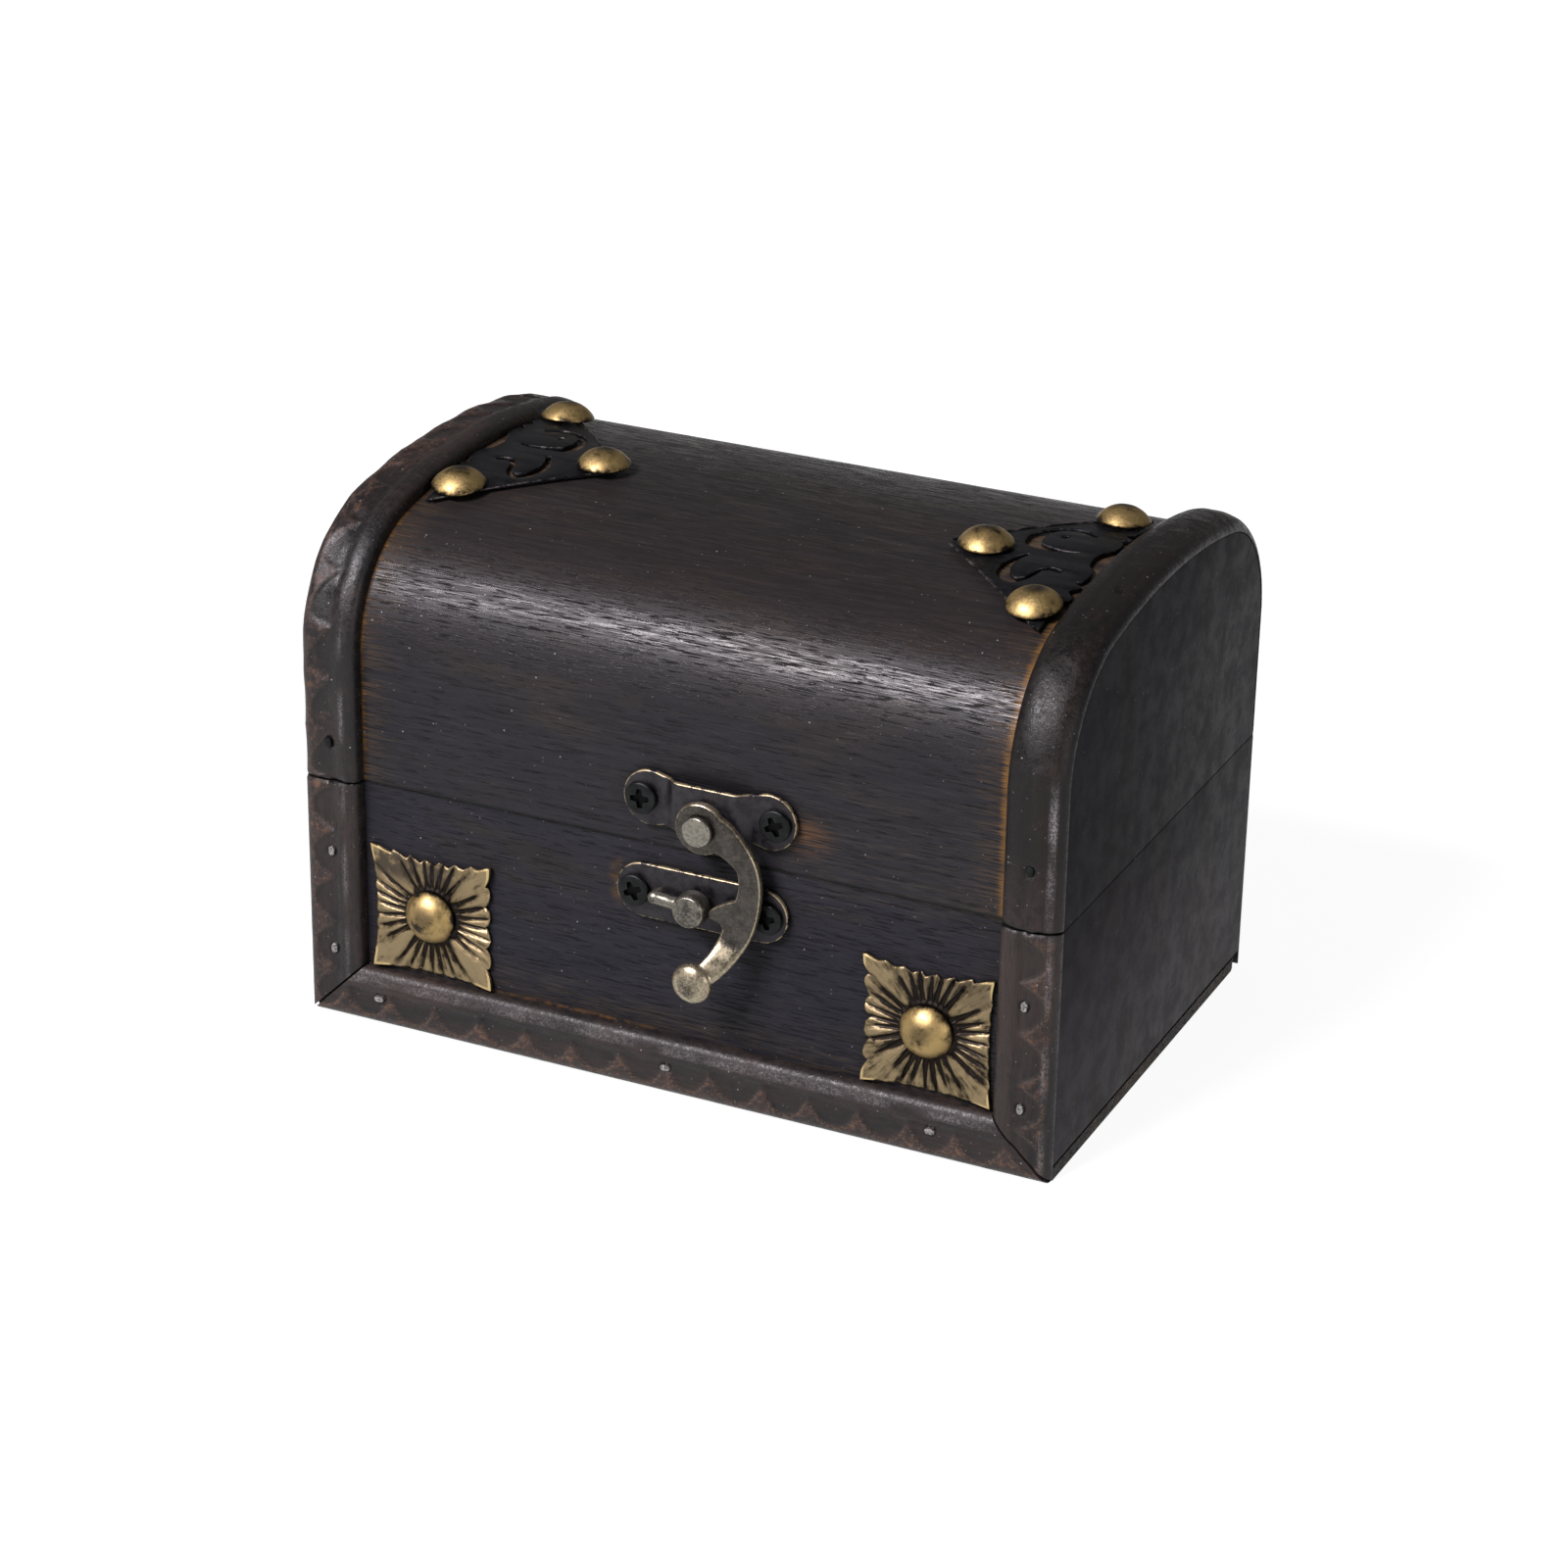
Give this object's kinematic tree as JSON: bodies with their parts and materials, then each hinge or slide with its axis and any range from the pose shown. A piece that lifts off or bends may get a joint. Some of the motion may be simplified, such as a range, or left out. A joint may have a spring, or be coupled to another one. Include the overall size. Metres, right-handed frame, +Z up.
{
  "type": "domed wooden jewelry box",
  "caption": "Small treasure-chest jewelry box with a hinged domed lid, carved half-round mouldings, stamped brass plates, black filigree brackets and a swing-hook latch.",
  "frame": {"origin": "the middle of the flat underside of the base, without the mouldings", "axes": "+X to the right along the box's length, +Z up, and the front with its latch faces -Y"},
  "size_m": [0.12, 0.0886, 0.0827],
  "materials": {
    "board": "charcoal-black stain, satin",
    "moulding": "dark stain with rubbed brown edges, satin",
    "stamped": "stamped and darkened",
    "tack": "polished with dark patina",
    "black": "satin black",
    "bronze": "antique bronze plating, brushed",
    "worn": "bronze plating worn bright",
    "screw": "blackened",
    "brad": "dull",
    "hinge": "plain"
  },
  "bodies": {
    "base": {"bottom_board": "board", "base_front_board": "board", "base_back_board": "board", "base_left_end": "board", "base_right_end": "board", "base_front_rail": "moulding", "base_front_left_post": "moulding", "base_front_right_post": "moulding", "base_back_left_post": "moulding", "base_back_right_post": "moulding", "base_brad_1": "brad", "base_brad_2": "brad", "base_brad_3": "brad", "base_brad_4": "brad", "base_brad_5": "brad", "base_brad_6": "brad", "base_brad_7": "brad", "left_corner_plate": "stamped", "right_corner_plate": "stamped", "left_plate_tack": "tack", "right_plate_tack": "tack", "catch_plate": "bronze", "catch_post": "worn", "catch_left_screw": "screw", "catch_right_screw": "screw", "left_hinge_base_leaf": "hinge", "left_hinge_base_screw_1": "screw", "left_hinge_base_screw_2": "screw", "left_hinge_pin": "hinge", "right_hinge_base_leaf": "hinge", "right_hinge_base_screw_1": "screw", "right_hinge_base_screw_2": "screw", "right_hinge_pin": "hinge"},
    "lid": {"lid_shell": "board", "lid_left_end": "board", "lid_right_end": "board", "lid_left_arch": "moulding", "lid_right_arch": "moulding", "lid_brad_1": "brad", "lid_brad_2": "brad", "left_filigree_bracket": "black", "right_filigree_bracket": "black", "left_bracket_front_tack": "tack", "left_bracket_back_tack": "tack", "left_bracket_apex_tack": "tack", "right_bracket_front_tack": "tack", "right_bracket_back_tack": "tack", "right_bracket_apex_tack": "tack", "latch_plate": "bronze", "latch_rivet": "worn", "latch_left_screw": "screw", "latch_right_screw": "screw", "left_hinge_lid_leaf": "hinge", "left_hinge_lid_screw_1": "screw", "left_hinge_lid_screw_2": "screw", "right_hinge_lid_leaf": "hinge", "right_hinge_lid_screw_1": "screw", "right_hinge_lid_screw_2": "screw"},
    "latch_hook": {"swing_hook": "bronze"}
  },
  "joints": [
    {"name": "lid_hinge", "type": "hinge", "parent": "base", "child": "lid", "pos_m": [0, 0.04, 0.0389], "axis": [-1, 0, 0], "range_deg": [0, 105]},
    {"name": "hook_pivot", "type": "hinge", "parent": "lid", "child": "latch_hook", "pos_m": [0.0062, -0.04185, 0.04465], "axis": [0, -1, 0], "range_deg": [0, 180]}
  ]
}
